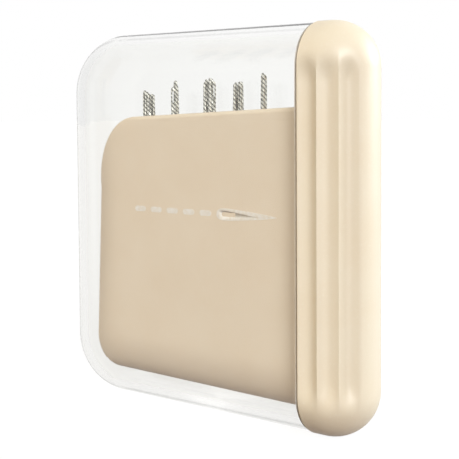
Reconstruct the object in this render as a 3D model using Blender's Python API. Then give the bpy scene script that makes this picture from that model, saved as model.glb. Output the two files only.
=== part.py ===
"""Pocket needle case.

A clear one-piece sleeve closes over a beige needle holder, which a fluted grip pulls out sideways.
The sewing needles stand in bored wells in the holder, points down and eyes up.

Metres. +Z is up along the needles, +X is towards the grip, -Y is the front. The origin is under
the middle of the closed case, on the surface that it stands on.
"""

import math

import bmesh
import bpy
from mathutils import Vector

MM = 0.001

# The closed case
SLEEVE_HEIGHT = 62.0 * MM
SLEEVE_THICKNESS = 13.6 * MM
EDGE_FLAT = 2.4 * MM  # width of the flat strip along the rounded bottom and top edges
RUNNING_GAP = 0.3 * MM  # between pieces that slide or seat on each other
CUT_OVERRUN = 2.0 * MM  # how far a cutter runs past what it cuts

# The sleeve
SLEEVE_LENGTH = 49.9 * MM  # closed end to mouth
SLEEVE_WALL = 1.4 * MM
SLEEVE_CORNER_RADIUS = 10.1 * MM  # both corners of the closed end, seen from the front

# The grip
SEAM_GAP = 0.4 * MM  # open line between the sleeve's mouth and the grip
GRIP_PROUD = 0.2 * MM  # how far the grip stands out past the sleeve, all round
GRIP_FLANK = 2.0 * MM  # flat part of its front and back, before they turn round the crest
LIP_DEPTH = 0.5 * MM  # how far the grip's lip reaches into the sleeve's mouth
FLUTES_PER_SIDE = 3
FLUTE_DEPTH = 0.8 * MM
FLUTE_ON_FLANK = 1.9 * MM  # how much of the first flute lies on the flank
CREST_BAND = 6.2 * MM  # plain band round the crest, between the front and the back flutes
FLUTE_RUN_ON = 2.5 * MM  # how far the flutes run on over the grip's rounded ends
FLUTE_FADE = 3.5 * MM  # length over which a flute runs out to nothing

# The holder
HOLDER_END_GAP = 2.95 * MM  # free space between the holder and the sleeve's closed end
HOLDER_END_LEAN = 1.9 * MM  # how much wider that space is at the deck than at the heel
HOLDER_FOOT_GAP = 2.1 * MM  # free space under the holder, at the grip
HOLDER_HEADROOM = 11.2 * MM  # free space over the needle deck, at the grip
DECK_FALL = 1.8 * MM  # how much lower the deck is at the free end than at the grip
FOOT_RISE = 0.7 * MM  # how much higher the foot is at the free end than at the grip
SHOULDER_WIDTH = 10.3 * MM  # upper corner of the free end, seen from the front
SHOULDER_HEIGHT = 12.0 * MM
HEEL_RADIUS = 5.0 * MM  # lower corner of the free end, seen from the front
DECK_ROUNDING = 0.7 * MM  # edge of the needle deck
END_ROUNDING = 8.0 * MM  # how far the free end's rounding runs over the front and back
FOOT_ROUNDING = 7.6 * MM  # the same along the foot
FLAT_HEEL_RADIUS = 3.0 * MM  # corners of the flat front inside those roundings
FLAT_SHOULDER_WIDTH = 6.0 * MM

# The tongue that carries the holder in the grip
TONGUE_SHOULDER = 7.0 * MM  # from the holder's foot and deck to the tongue
TONGUE_THICKNESS = 5.0 * MM
TONGUE_REACH = 4.6 * MM  # into the grip
TONGUE_ROOT = 3.0 * MM  # into the holder

# The wells
WELL_COUNT = 5
WELL_CLEARANCE = 0.3 * MM  # round the bundle
WELL_RIB = 2.2 * MM  # material between two wells
WELL_DEPTH = 36.4 * MM  # from the deck at the grip
WELL_LEAD_IN = 0.4 * MM  # chamfer at the mouth
WELL_ROW_OFFSET = 1.2 * MM  # middle of the row, from the middle of the holder

# The needles
NEEDLE_DIAMETER = 0.75 * MM
NEEDLE_GAP = 0.1 * MM  # between neighbours in a bundle
NEEDLE_FREE_LIFT = 5.5 * MM  # between the tallest needle's full rise and the sleeve's roof
NEEDLE_TAPER = 7.0 * MM  # length of the point
NEEDLE_POINT = 0.06 * MM  # width of the very tip
NEEDLE_HEAD = 5.0 * MM  # length of the flattened eye end
EYE_LENGTH = 1.9 * MM
EYE_WIDTH = 0.3 * MM
EYE_BELOW_TOP = 0.75 * MM
EYE_TURN_PER_NEEDLE = 67  # degrees
EYE_TURN_PER_WELL = 41  # degrees

# Smoothness of the round surfaces
CORNER_STEPS = 10
EDGE_STEPS = 7
GRIP_END_STEPS = 8
FLUTE_STEPS = 8  # per flute, an even number so that its bottom is met
CREST_STEPS = 3  # half of the crest band
FADE_STEPS = 4
WELL_SIDES = 24
NEEDLE_SIDES = 8
EYE_END_STEPS = 3

# Each bundle: across, depth and rise of its needles. Places are in shares of the needle spacing
# from the well's axis, and a rise is a share of the tallest needle's.
BUNDLE_SHARES = (
    (
        (-0.60, -0.92, 0.77),
        (0.38, -0.78, 0.67),
        (0.70, 0.18, 0.64),
        (-0.94, 0.04, 0.73),
        (-0.16, 0.69, 0.67),
    ),
    (
        (0.0, -1.22, 0.81),
        (0.01, -0.18, 0.85),
        (-0.82, 0.37, 1.0),
    ),
    (
        (0.12, -0.28, 0.89),
        (1.11, -0.14, 1.0),
        (1.21, 0.86, 0.91),
        (-0.34, 0.62, 0.97),
        (0.30, 1.39, 0.99),
    ),
    (
        (0.12, -0.41, 0.77),
        (1.03, 0.02, 0.83),
        (0.61, 0.97, 0.83),
        (-0.31, 0.52, 0.82),
    ),
    (
        (-0.23, -0.82, 1.0),
        (-0.59, 0.15, 0.96),
    ),
)

# The needle's outline: share of the head's length below the top, width share, thickness share
NEEDLE_HEAD_SHARES = (
    (1.0, 1.0, 1.0),
    (0.62, 1.04, 0.86),
    (0.40, 1.10, 0.70),
    (0.12, 1.06, 0.64),
    (0.035, 0.76, 0.50),
    (0.0, 0.36, 0.28),
)
# Share of the taper's length above the tip, diameter share
NEEDLE_TAPER_SHARES = ((0.18, 0.34), (0.55, 0.76), (1.0, 1.0))

# How much of the clear plastic's colour the plain viewport leaves out
SEE_THROUGH_SHARE = 0.7

# Places that follow from the sizes above
SLEEVE_HALF = SLEEVE_THICKNESS / 2
GRIP_HALF = SLEEVE_HALF + GRIP_PROUD
HALF_WIDTH = (SLEEVE_LENGTH + SEAM_GAP + GRIP_FLANK + GRIP_HALF) / 2
SLEEVE_LEFT = -HALF_WIDTH
MOUTH_X = SLEEVE_LEFT + SLEEVE_LENGTH
GRIP_LEFT = MOUTH_X + SEAM_GAP
GRIP_SPINE_X = GRIP_LEFT + GRIP_FLANK
CREST_DISTANCE = GRIP_HALF * math.pi / 2  # from the end of the flank to the crest, along the surface
FLUTE_PITCH = (FLUTE_ON_FLANK + CREST_DISTANCE - CREST_BAND / 2) / FLUTES_PER_SIDE
FLAT_ANGLE = math.asin(EDGE_FLAT / SLEEVE_THICKNESS)
MID_HEIGHT = GRIP_PROUD + SLEEVE_HEIGHT / 2
SPINE_INSET = SLEEVE_HALF * math.cos(FLAT_ANGLE)  # outer edge to the line that the rounding turns about
SPINE_BOTTOM = MID_HEIGHT - SLEEVE_HEIGHT / 2 + SPINE_INSET
SPINE_TOP = MID_HEIGHT + SLEEVE_HEIGHT / 2 - SPINE_INSET
SPINE_LEFT = SLEEVE_LEFT + SPINE_INSET
SPINE_CORNER = SLEEVE_CORNER_RADIUS - SPINE_INSET
CAVITY_HALF = SLEEVE_HALF - SLEEVE_WALL
CAVITY_INSET = CAVITY_HALF * math.cos(FLAT_ANGLE)
LIP_HALF = CAVITY_HALF - RUNNING_GAP
LIP_LEFT = MOUTH_X - LIP_DEPTH

HOLDER_HALF = CAVITY_HALF - RUNNING_GAP
HOLDER_LEFT = SPINE_LEFT - CAVITY_INSET + HOLDER_END_GAP
HOLDER_RIGHT = LIP_LEFT - RUNNING_GAP
HOLDER_BOTTOM = SPINE_BOTTOM - CAVITY_INSET + HOLDER_FOOT_GAP
HOLDER_TOP = SPINE_TOP + CAVITY_INSET - HOLDER_HEADROOM
TONGUE_BOTTOM = HOLDER_BOTTOM + TONGUE_SHOULDER
TONGUE_TOP = HOLDER_TOP - TONGUE_SHOULDER
TONGUE_TIP = GRIP_LEFT + TONGUE_REACH
WELL_ROW_X = (HOLDER_LEFT + HOLDER_RIGHT) / 2 + WELL_ROW_OFFSET
WELL_FLOOR = HOLDER_TOP - WELL_DEPTH

NEEDLE_TIP = WELL_FLOOR + RUNNING_GAP
NEEDLE_RADIUS = NEEDLE_DIAMETER / 2
NEEDLE_SPACING = NEEDLE_DIAMETER + NEEDLE_GAP
NEEDLE_RISE = HOLDER_HEADROOM - NEEDLE_FREE_LIFT
HEAD_RADIUS = NEEDLE_RADIUS * max(wide_share for _, wide_share, _ in NEEDLE_HEAD_SHARES)
BUNDLE_REACH = NEEDLE_SPACING * max(
    math.hypot(across, depth) for bundle in BUNDLE_SHARES for across, depth, _ in bundle
)
WELL_RADIUS = BUNDLE_REACH + HEAD_RADIUS + WELL_CLEARANCE
WELL_PITCH = 2 * WELL_RADIUS + WELL_RIB


def clear_scene():
    """Empties the file that the script starts in."""
    for obj in list(bpy.data.objects):
        bpy.data.objects.remove(obj)


def material(name, colour, roughness, metallic=0.0, transmission=0.0):
    """A plain principled material."""
    made = bpy.data.materials.new(name)
    made.use_nodes = True
    shader = made.node_tree.nodes["Principled BSDF"]
    shader.inputs["Base Color"].default_value = (*colour, 1.0)
    shader.inputs["Roughness"].default_value = roughness
    shader.inputs["Metallic"].default_value = metallic
    shader.inputs["Transmission Weight"].default_value = transmission
    made.diffuse_color = (*colour, 1.0 - transmission * SEE_THROUGH_SHARE)
    return made


def mesh_object(name, bm, finish, smooth_below=math.radians(35)):
    """Turns a bmesh into an object of the scene with its outside facing out."""
    bmesh.ops.recalc_face_normals(bm, faces=bm.faces)
    mesh = bpy.data.meshes.new(name)
    bm.to_mesh(mesh)
    bm.free()
    mesh.shade_smooth()
    mesh.set_sharp_from_angle(angle=smooth_below)
    if finish:
        mesh.materials.append(finish)
    obj = bpy.data.objects.new(name, mesh)
    bpy.context.scene.collection.objects.link(obj)
    return obj


def helper(obj):
    """Marks an object as a cutter or a shape that is joined to another, not a piece of its own."""
    obj.hide_render = True
    obj.display_type = "WIRE"
    return obj


def boolean(obj, other, operation):
    """Adds an exact Boolean with a helper object."""
    modifier = obj.modifiers.new(other.name, "BOOLEAN")
    modifier.operation = operation
    modifier.solver = "EXACT"
    modifier.object = other


def box(bm, low, high):
    """A closed box between two corners."""
    corners = [
        bm.verts.new((x, y, z))
        for x in (low[0], high[0])
        for y in (low[1], high[1])
        for z in (low[2], high[2])
    ]
    for side in ((0, 1, 3, 2), (4, 6, 7, 5), (0, 4, 5, 1), (2, 3, 7, 6), (0, 2, 6, 4), (1, 5, 7, 3)):
        bm.faces.new([corners[i] for i in side])


def loft(bm, rows, closed_rows=False):
    """Quads between neighbouring rows of points, and the rows as lists of vertices."""
    made = [[bm.verts.new(point) for point in row] for row in rows]
    for low, high in zip(made, made[1:]):
        count = len(low)
        for i in range(count if closed_rows else count - 1):
            j = (i + 1) % count
            bm.faces.new((low[i], low[j], high[j], high[i]))
    return made


def arc(centre_x, centre_z, radius, start, end, steps):
    """Points of an arc in the front plane, with their outward directions. Angle 0 is +X, 90 is +Z."""
    points = []
    for step in range(steps + 1):
        angle = math.radians(start + (end - start) * step / steps)
        out = (math.cos(angle), math.sin(angle))
        points.append((centre_x + radius * out[0], centre_z + radius * out[1], out))
    return points


def edge_angles(start, steps):
    """Angles of a rounded edge from the front face round to the back, without the strip in the middle."""
    quarter = [math.pi / 2 - (math.pi / 2 - start) * step / steps for step in range(steps + 1)]
    return [-angle for angle in quarter] + quarter[::-1]


def sleeve_rows(half):
    """Rows of a skin at this distance from the sleeve's spine, from the front face to the back.

    A row starts at the mouth's lower edge, goes round the closed end and comes back to the mouth."""
    rows = []
    for angle in edge_angles(FLAT_ANGLE, EDGE_STEPS):
        reach = half * math.cos(angle)
        y = half * math.sin(angle)
        radius = SPINE_CORNER + reach
        corner_x = SPINE_LEFT + SPINE_CORNER
        path = [(MOUTH_X, SPINE_BOTTOM - reach)]
        for z, start in ((SPINE_BOTTOM + SPINE_CORNER, 270), (SPINE_TOP - SPINE_CORNER, 180)):
            turn = arc(corner_x, z, radius, start, start - 90, CORNER_STEPS)
            path += [(x, z) for x, z, _ in turn]
        path.append((MOUTH_X, SPINE_TOP + reach))
        rows.append([(x, y, z) for x, z in path])
    return rows


def mouth_loop(rows):
    """The row ends at the mouth as one closed loop."""
    return [row[0] for row in rows] + [row[-1] for row in reversed(rows)]


def make_sleeve(finish):
    """The clear sleeve: an outer and an inner skin, joined round the open mouth."""
    bm = bmesh.new()
    outer = loft(bm, sleeve_rows(SLEEVE_HALF))
    inner = loft(bm, sleeve_rows(CAVITY_HALF))
    for skin in (outer, inner):
        bm.faces.new(skin[0])
        bm.faces.new(skin[-1])
    outside, inside = mouth_loop(outer), mouth_loop(inner)
    for i in range(len(outside)):
        j = (i + 1) % len(outside)
        bm.faces.new((outside[i], outside[j], inside[j], inside[i]))
    return mesh_object("clear_sleeve", bm, finish)


def flute_depth(along, height):
    """How deep the flutes are at this distance along the grip's side and this height.

    Each flute is a round hollow, and the ribs between them are narrow."""
    from_start = along + FLUTE_ON_FLANK
    if not 0 < from_start < FLUTES_PER_SIDE * FLUTE_PITCH:
        return 0
    wave = abs(math.sin(math.pi * from_start / FLUTE_PITCH))
    inside = (SPINE_TOP - SPINE_BOTTOM) / 2 + FLUTE_RUN_ON - abs(height - MID_HEIGHT)
    fade = min(max(inside / FLUTE_FADE, 0), 1)
    return FLUTE_DEPTH * wave * fade * fade * (3 - 2 * fade)


def grip_stations():
    """Distances along one side of the grip, from the end of its flank to the crest."""
    step = FLUTE_PITCH / FLUTE_STEPS
    fluted = [step * i - FLUTE_ON_FLANK for i in range(FLUTES_PER_SIDE * FLUTE_STEPS + 1)]
    plain = CREST_BAND / 2
    return fluted + [fluted[-1] + plain * (i + 1) / CREST_STEPS for i in range(CREST_STEPS)]


def grip_row(reach, height, stations):
    """One level of the grip from the front edge of its left face, round the crest, to the back edge."""
    front = []
    for along in stations:
        turned = max(along, 0) / GRIP_HALF
        radius = reach - flute_depth(along, height)
        x = GRIP_SPINE_X + min(along, 0) + radius * math.sin(turned)
        front.append((x, -radius * math.cos(turned), height))
    front.insert(0, (GRIP_LEFT, -reach, height))
    back = [(x, -y, height) for x, y, _ in front[-2::-1]]
    return front + back


def grip_heights():
    """Reach from the spine and height of each level of the grip, from the bottom up."""
    steepest = math.pi / 2 - FLAT_ANGLE
    end = [steepest * (1 - step / GRIP_END_STEPS) for step in range(GRIP_END_STEPS + 1)]
    fade = (FLUTE_FADE - FLUTE_RUN_ON) / FADE_STEPS
    fades = [SPINE_TOP - fade * (step + 1) for step in range(FADE_STEPS)]
    top = [(GRIP_HALF * math.cos(a), SPINE_TOP + GRIP_HALF * math.sin(a)) for a in end]
    top += [(GRIP_HALF, height) for height in fades]
    bottom = [(reach, 2 * MID_HEIGHT - height) for reach, height in top]
    return bottom + top[::-1]


def lip_loop(x):
    """Outline of the grip's lip at x, point for point like the outline of the grip's left face."""
    loop = []
    for reach, height in grip_heights():
        share = LIP_HALF / GRIP_HALF
        if height > SPINE_TOP:
            z = SPINE_TOP + (height - SPINE_TOP) * share
        elif height < SPINE_BOTTOM:
            z = SPINE_BOTTOM + (height - SPINE_BOTTOM) * share
        else:
            z = height
        loop.append((x, reach * share, z))
    return [(x, -y, z) for x, y, z in loop] + loop[::-1]


def make_grip(finish):
    """The fluted grip with the lip that centres it in the sleeve's mouth and the slot for the tongue."""
    bm = bmesh.new()
    stations = grip_stations()
    rows = loft(bm, [grip_row(reach, height, stations) for reach, height in grip_heights()])
    bm.faces.new(rows[0])
    bm.faces.new(rows[-1])
    face_edge = [row[0] for row in rows] + [row[-1] for row in reversed(rows)]
    root = [bm.verts.new(point) for point in lip_loop(GRIP_LEFT)]
    nose = [bm.verts.new(point) for point in lip_loop(LIP_LEFT)]
    for outline, next_outline in ((face_edge, root), (root, nose)):
        for i in range(len(outline)):
            j = (i + 1) % len(outline)
            bm.faces.new((outline[i], outline[j], next_outline[j], next_outline[i]))
    bm.faces.new(nose)
    grip = mesh_object("grip", bm, finish)
    boolean(grip, tongue_box("tongue_slot", RUNNING_GAP, HOLDER_RIGHT, TONGUE_TIP), "DIFFERENCE")
    return grip


def tongue_box(name, clearance, left, right):
    """The tongue's block, grown by a clearance."""
    half_thickness = TONGUE_THICKNESS / 2 + clearance
    bm = bmesh.new()
    box(
        bm,
        (left, -half_thickness, TONGUE_BOTTOM - clearance),
        (right + clearance, half_thickness, TONGUE_TOP + clearance),
    )
    return helper(mesh_object(name, bm, None))


def to_free_end(x):
    """How far x lies from the grip end of the holder to its free end, from 0 to 1."""
    return (HOLDER_RIGHT - x) / (HOLDER_RIGHT - HOLDER_LEFT)


def deck_height(x):
    """Height of the needle deck, which falls a little towards the free end."""
    return HOLDER_TOP - DECK_FALL * to_free_end(x)


def foot_height(x):
    """Height of the holder's foot, which rises a little towards the free end."""
    return HOLDER_BOTTOM + FOOT_RISE * to_free_end(x)


def end_lean(x, z):
    """How far the holder's free end leans away from the sleeve's closed end at this place."""
    heel_top = HOLDER_BOTTOM + FOOT_RISE + HEEL_RADIUS
    return HOLDER_END_LEAN * to_free_end(x) * max(z - heel_top, 0) / (HOLDER_TOP - heel_top)


def holder_outline(end_inset, foot_inset, deck_inset, heel_radius, shoulder_width):
    """The holder from the front, at these distances inside its edges: points with their deck share.

    The deck share grows from 0 at the free end to 1 on the deck."""
    left = HOLDER_LEFT + end_inset
    shoulder_height = SHOULDER_HEIGHT - deck_inset
    outline = [(HOLDER_RIGHT, foot_height(HOLDER_RIGHT) + foot_inset, 0)]
    for cosine, sine, _ in arc(0, 0, 1, 270, 180, CORNER_STEPS):
        x = left + heel_radius * (1 + cosine)
        outline.append((x, foot_height(x) + foot_inset + heel_radius * (1 + sine), 0))
    for cosine, sine, _ in arc(0, 0, 1, 180, 90, CORNER_STEPS):
        x = left + shoulder_width * (1 + cosine)
        outline.append((x, deck_height(x) - deck_inset + shoulder_height * (sine - 1), sine))
    outline.append((HOLDER_RIGHT, deck_height(HOLDER_RIGHT) - deck_inset, 1))
    return [(x + end_lean(x, z), z, deck_share) for x, z, deck_share in outline]


def holder_rows():
    """Rows of the holder from its flat front over the rounded edge to the middle of its thickness."""
    full = holder_outline(0, 0, 0, HEEL_RADIUS, SHOULDER_WIDTH)
    flat = holder_outline(END_ROUNDING, FOOT_ROUNDING, DECK_ROUNDING, FLAT_HEEL_RADIUS, FLAT_SHOULDER_WIDTH)
    side_depth = HOLDER_HALF * (1 - math.sin(FLAT_ANGLE))
    rows = []
    for step in range(EDGE_STEPS + 1):
        angle = math.pi / 2 * (1 - step / EDGE_STEPS)
        row = []
        for (full_x, full_z, deck_share), (flat_x, flat_z, _) in zip(full, flat):
            depth = side_depth + (DECK_ROUNDING - side_depth) * deck_share
            x = flat_x + (full_x - flat_x) * math.cos(angle)
            z = flat_z + (full_z - flat_z) * math.cos(angle)
            row.append((x, depth * (1 - math.sin(angle)) - HOLDER_HALF, z))
        rows.append(row)
    return rows


def make_holder(finish):
    """The block that holds the needles, with its tongue and its wells."""
    bm = bmesh.new()
    front = holder_rows()
    back = [[(x, -y, z) for x, y, z in row] for row in reversed(front)]
    rows = loft(bm, front + back)
    bm.faces.new(rows[0])
    bm.faces.new(rows[-1])
    bm.faces.new([row[0] for row in rows] + [row[-1] for row in reversed(rows)])
    holder = mesh_object("needle_holder", bm, finish)
    boolean(holder, tongue_box("tongue", 0, HOLDER_RIGHT - TONGUE_ROOT, TONGUE_TIP), "UNION")
    for index in range(WELL_COUNT):
        boolean(holder, well_cutter(index), "DIFFERENCE")
    return holder


def well_x(index):
    """Where a well stands along the holder."""
    return WELL_ROW_X + (index - (WELL_COUNT - 1) / 2) * WELL_PITCH


def well_cutter(index):
    """The bore of one well, widened at its mouth."""
    deck = deck_height(well_x(index))
    levels = (
        (WELL_RADIUS, WELL_FLOOR),
        (WELL_RADIUS, deck - WELL_LEAD_IN),
        (WELL_RADIUS + WELL_LEAD_IN, deck),
        (WELL_RADIUS + WELL_LEAD_IN, deck + CUT_OVERRUN),
    )
    bm = bmesh.new()
    rows = []
    for radius, height in levels:
        turn = arc(0, 0, radius, 0, 360, WELL_SIDES)[:-1]
        rows.append([(well_x(index) + x, y, height) for x, y, _ in turn])
    rows = loft(bm, rows, closed_rows=True)
    bm.faces.new(rows[0])
    bm.faces.new(rows[-1])
    return helper(mesh_object(f"well_{index + 1}", bm, None))


def needle_rings(length):
    """Height, half width and half thickness of a needle's sections, from the tip up."""
    rings = [(0, NEEDLE_POINT / 2, NEEDLE_POINT / 2)]
    for up, wide in NEEDLE_TAPER_SHARES:
        rings.append((NEEDLE_TAPER * up, NEEDLE_RADIUS * wide, NEEDLE_RADIUS * wide))
    for down, wide, thick in NEEDLE_HEAD_SHARES:
        rings.append((length - NEEDLE_HEAD * down, NEEDLE_RADIUS * wide, NEEDLE_RADIUS * thick))
    return rings


def eye_cutter(length):
    """A rounded slot through the flat of a needle's head."""
    half_width = EYE_WIDTH / 2
    top = length - EYE_BELOW_TOP
    outline = arc(0, top - half_width, half_width, 0, 180, EYE_END_STEPS)
    outline += arc(0, top - EYE_LENGTH + half_width, half_width, 180, 360, EYE_END_STEPS)
    bm = bmesh.new()
    rows = loft(
        bm,
        [[(x, y, z) for x, z, _ in outline] for y in (-NEEDLE_DIAMETER, NEEDLE_DIAMETER)],
        closed_rows=True,
    )
    bm.faces.new(rows[0])
    bm.faces.new(rows[-1])
    return helper(mesh_object("eye", bm, None))


def make_needle(name, length, finish):
    """One sewing needle, standing on its point at its own origin, before its eye is cut along Y."""
    bm = bmesh.new()
    rows = []
    for height, half_width, half_thickness in needle_rings(length):
        turn = arc(0, 0, 1, 0, 360, NEEDLE_SIDES)[:-1]
        rows.append([(x * half_width, y * half_thickness, height) for x, y, _ in turn])
    rows = loft(bm, rows, closed_rows=True)
    bm.faces.new(rows[0])
    bm.faces.new(rows[-1])
    return mesh_object(name, bm, finish)


def make_needles(finish):
    """The needles of every bundle, standing in their wells."""
    needles = []
    for well, bundle in enumerate(BUNDLE_SHARES[:WELL_COUNT]):
        for number, (across, depth, rise) in enumerate(bundle):
            length = deck_height(well_x(well)) + NEEDLE_RISE * rise - NEEDLE_TIP
            name = f"needle_{well + 1}_{number + 1}"
            needle = make_needle(name, length, finish)
            needle.location = (
                well_x(well) + across * NEEDLE_SPACING,
                depth * NEEDLE_SPACING,
                NEEDLE_TIP,
            )
            cutter = eye_cutter(length)
            cutter.parent = needle
            boolean(needle, cutter, "DIFFERENCE")
            needle.rotation_euler = (0, 0, math.radians(eye_turn(well, number)))
            needles.append(needle)
    return needles


def eye_turn(well, number):
    """Degrees that a needle's eye is turned, so that a bundle's eyes face different ways."""
    return (EYE_TURN_PER_NEEDLE * number + EYE_TURN_PER_WELL * well) % 180


def make_drawer(pieces):
    """Hangs what slides out together on one empty, which lies on the slide's axis at the mouth."""
    drawer = bpy.data.objects.new("drawer_slide", None)
    drawer.location = (MOUTH_X, 0, MID_HEIGHT)
    bpy.context.scene.collection.objects.link(drawer)
    for piece in pieces:
        piece.parent = drawer
        piece.location -= Vector(drawer.location)


def main():
    clear_scene()
    make_sleeve(material("clear_plastic", (0.97, 0.98, 0.98), 0.04, transmission=1.0))
    holder = make_holder(material("holder_plastic", (0.73, 0.60, 0.45), 0.55))
    grip = make_grip(material("grip_plastic", (0.85, 0.75, 0.59), 0.5))
    needles = make_needles(material("needle_steel", (0.62, 0.61, 0.58), 0.25, metallic=1.0))
    make_drawer([holder, grip, *needles])


main()
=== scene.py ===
"""Looks of the pocket needle case: clear sleeve, beige holder, cream fluted grip and loose needles.

Metres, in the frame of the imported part. +Z is up along the needles, +X is towards the grip and
-Y is the front. Each finer mesh takes its place and its main sizes from the node that it replaces.
"""

import math
from typing import NamedTuple

import bmesh
import bpy
from mathutils import Matrix, Vector


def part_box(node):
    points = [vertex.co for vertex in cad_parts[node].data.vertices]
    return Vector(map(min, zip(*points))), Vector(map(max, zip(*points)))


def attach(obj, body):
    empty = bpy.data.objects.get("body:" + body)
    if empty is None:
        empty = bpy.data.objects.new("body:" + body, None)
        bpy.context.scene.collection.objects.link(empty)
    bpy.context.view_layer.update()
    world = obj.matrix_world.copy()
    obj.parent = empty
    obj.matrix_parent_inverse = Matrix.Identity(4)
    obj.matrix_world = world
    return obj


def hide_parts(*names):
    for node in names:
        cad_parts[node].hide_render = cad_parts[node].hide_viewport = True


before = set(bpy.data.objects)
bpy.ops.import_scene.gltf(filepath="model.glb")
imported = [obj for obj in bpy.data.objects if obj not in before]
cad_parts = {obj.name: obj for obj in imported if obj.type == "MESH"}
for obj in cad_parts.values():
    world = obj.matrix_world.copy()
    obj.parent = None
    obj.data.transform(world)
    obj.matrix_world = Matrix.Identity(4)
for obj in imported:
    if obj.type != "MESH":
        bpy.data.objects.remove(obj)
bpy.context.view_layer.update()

MM = 0.001

# Sizes of the sleeve that its box doesn't give
EDGE_FLAT = 2.4 * MM  # width of the flat strip along the rounded bottom and top edges
SLEEVE_WALL = 1.4 * MM
SLEEVE_CORNER_RADIUS = 10.1 * MM
MOUTH_EASING = 0.12 * MM
NORMAL_GUARD = 0.15 * MM  # strip beside a flat face that keeps its shading flat
EDGE_SLOT = 1  # the place of the mouth's finish among the sleeve's materials

# Sizes of the grip that its box doesn't give
RUNNING_GAP = 0.3 * MM
GRIP_FLANK = 2.0 * MM  # from the grip's left face to where its side starts to curve
FLUTES_PER_SIDE = 3
FLUTE_DEPTH = 0.8 * MM
FLUTE_ON_FLANK = 1.9 * MM  # how far the first flute reaches onto the flank
CREST_BAND = 6.2 * MM  # plain band along the middle of the grip's outer side
FLUTE_RUN_ON = 2.5 * MM  # how far the flutes run past the ends of the spine
FLUTE_FADE = 5.0 * MM  # length over which a flute's end fades out

# Sizes of the holder that its box doesn't give
HOLDER_GRIP_END_GAP = 0.8 * MM  # from the holder's block to the sleeve's mouth
HOLDER_END_LEAN = 1.9 * MM
DECK_FALL = 1.8 * MM
FOOT_RISE = 0.7 * MM
SHOULDER_WIDTH = 10.3 * MM
SHOULDER_HEIGHT = 12.0 * MM
HEEL_RADIUS = 5.0 * MM
DECK_ROUNDING = 0.7 * MM
END_ROUNDING = 8.0 * MM  # how far inside the free end the flat front begins
FOOT_ROUNDING = 7.6 * MM
FLAT_HEEL_RADIUS = 3.0 * MM  # corners of the flat front inside those roundings
FLAT_SHOULDER_WIDTH = 6.0 * MM
TONGUE_SHOULDER = 7.0 * MM
TONGUE_THICKNESS = 5.0 * MM
TONGUE_ROOT = 3.0 * MM
WELL_COUNT = 5
WELL_RADIUS = 1.974 * MM
WELL_RIB = 2.2 * MM  # material between two wells
WELL_ROW_OFFSET = 1.2 * MM
WELL_LEAD_IN = 0.4 * MM
WELL_DEPTH = 36.4 * MM
CUT_OVERRUN = 2.0 * MM

# The printed mark on the holder's front: a running stitch that ends in a needle
MARK_LEFT = -13.0 * MM
MARK_HEIGHT = 33.0 * MM
STITCH_COUNT = 5
STITCH_LENGTH = 2.4 * MM
STITCH_WIDTH = 0.9 * MM
STITCH_GAP = 1.1 * MM
MARK_NEEDLE_LENGTH = 11.5 * MM
MARK_NEEDLE_WIDTH = 1.9 * MM
MARK_EYE_LENGTH = 2.8 * MM
MARK_EYE_WIDTH = 0.7 * MM
MARK_EYE_FROM_END = 1.0 * MM
INK_DEPTH = 0.03 * MM

# Sizes of the needles that their boxes don't give
NEEDLE_RADIUS = 0.375 * MM
NEEDLE_TAPER = 7.0 * MM
NEEDLE_HEAD = 5.0 * MM
EYE_LENGTH = 1.9 * MM
EYE_WIDTH = 0.3 * MM
EYE_BELOW_TOP = 0.75 * MM
GUTTER_LENGTH = 3.4 * MM
GUTTER_WIDTH = 0.34 * MM
GUTTER_DEPTH = 0.1 * MM
EYE_TURN_PER_NEEDLE = 67  # in degrees
EYE_TURN_PER_WELL = 41
HALF_TURN = 180  # an eye looks the same after it

# The needle's outline: share of the taper's length above the tip, radius share
TAPER_SHARES = ((0, 0.08), (0.06, 0.17), (0.18, 0.34), (0.35, 0.56), (0.55, 0.76), (0.78, 0.92), (1, 1))
# Share of the head's length below the top, width share, thickness share
HEAD_SHARES = (
    (1.0, 1.0, 1.0),
    (0.62, 1.03, 0.86),
    (0.40, 1.08, 0.70),
    (0.12, 1.04, 0.64),
    (0.06, 0.94, 0.60),
    (0.025, 0.72, 0.50),
    (0.006, 0.44, 0.34),
    (0.0, 0.20, 0.16),
)
HEAD_THICKNESS_SHARE = 0.66  # where the eye and the gutters are cut
# The mark's needle: share of its length from the eye end, width share
MARK_NEEDLE_SHARES = (
    (0.0, 0.35),
    (0.02, 0.66),
    (0.05, 0.86),
    (0.10, 0.98),
    (0.18, 1.0),
    (0.36, 0.86),
    (0.62, 0.62),
    (0.86, 0.32),
    (1.0, 0.05),
)

# Smoothness, and the angle in degrees under which an edge is shaded smooth
SMOOTH_BELOW = 40
NEEDLE_SMOOTH_BELOW = 50
CORNER_STEPS = 36
EDGE_STEPS = 22
GRIP_END_STEPS = 24
FLUTE_STEPS = 20
CREST_STEPS = 8
FADE_STEPS = 6
WELL_SIDES = 64
NEEDLE_SIDES = 20
EYE_END_STEPS = 8

# The camera, as fitted to the photograph's outlines, with its angles in degrees
CAMERA_AT = Vector((107.5, -132.2, 49.1)) * MM
CAMERA_YAW = 38.43
CAMERA_PITCH = -3.24
CAMERA_ROLL = -0.39
CAMERA_FOCAL_PIXELS = 1044.6
CAMERA_AXIS_ROW = 170.0  # pixel row that the lens looks straight at
PICTURE_SIDE = 459
CAMERA_CLIP_START = 10 * MM

# The key light, from the front on the grip's side. Its angles are in degrees, and a strength of pi
# lights a surface that faces it to its own colour
KEY_AZIMUTH = 58
KEY_ELEVATION = 23
KEY_SOFTNESS = 30
KEY_STRENGTH = 0.71 * math.pi

# The fill light, from the front on the other side
FILL_AZIMUTH = -42
FILL_ELEVATION = 28
FILL_SOFTNESS = 45
FILL_STRENGTH = 0.36 * math.pi

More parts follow.
